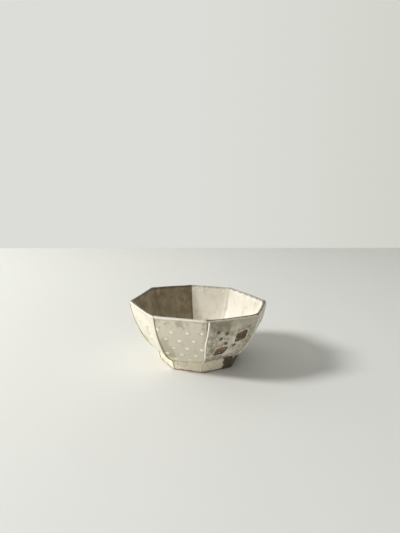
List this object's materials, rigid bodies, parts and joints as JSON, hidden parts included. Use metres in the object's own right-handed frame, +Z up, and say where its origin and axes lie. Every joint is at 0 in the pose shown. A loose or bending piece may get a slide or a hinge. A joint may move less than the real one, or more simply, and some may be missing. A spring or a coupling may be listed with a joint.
{
  "type": "octagonal stoneware bowl",
  "caption": "Eight-sided slab-built stoneware bowl with slip seams, floor slab and foot ring, 120 mm across.",
  "frame": {"origin": "middle of the foot ring's underside, on the surface that the bowl stands on", "axes": "+Z up through the bowl's mouth, -Y towards the front seam corner, +X to the right of it"},
  "size_m": [0.1202, 0.1194, 0.0544],
  "materials": {
    "dotted_glaze": "satin",
    "lozenge_glaze": "satin",
    "seam_slip": "satin",
    "floor_glaze": "gloss",
    "foot_clay": "matte"
  },
  "bodies": {
    "root": {"wall_slab_front_right": "lozenge_glaze", "wall_slab_right_front": "dotted_glaze", "wall_slab_right_back": "lozenge_glaze", "wall_slab_back_right": "dotted_glaze", "wall_slab_back_left": "lozenge_glaze", "wall_slab_left_back": "dotted_glaze", "wall_slab_left_front": "lozenge_glaze", "wall_slab_front_left": "dotted_glaze", "seam_bead_front": "seam_slip", "seam_bead_front_right": "seam_slip", "seam_bead_right": "seam_slip", "seam_bead_back_right": "seam_slip", "seam_bead_back": "seam_slip", "seam_bead_back_left": "seam_slip", "seam_bead_left": "seam_slip", "seam_bead_front_left": "seam_slip", "floor_slab": "floor_glaze", "foot_ring": "foot_clay"}
  },
  "joints": []
}
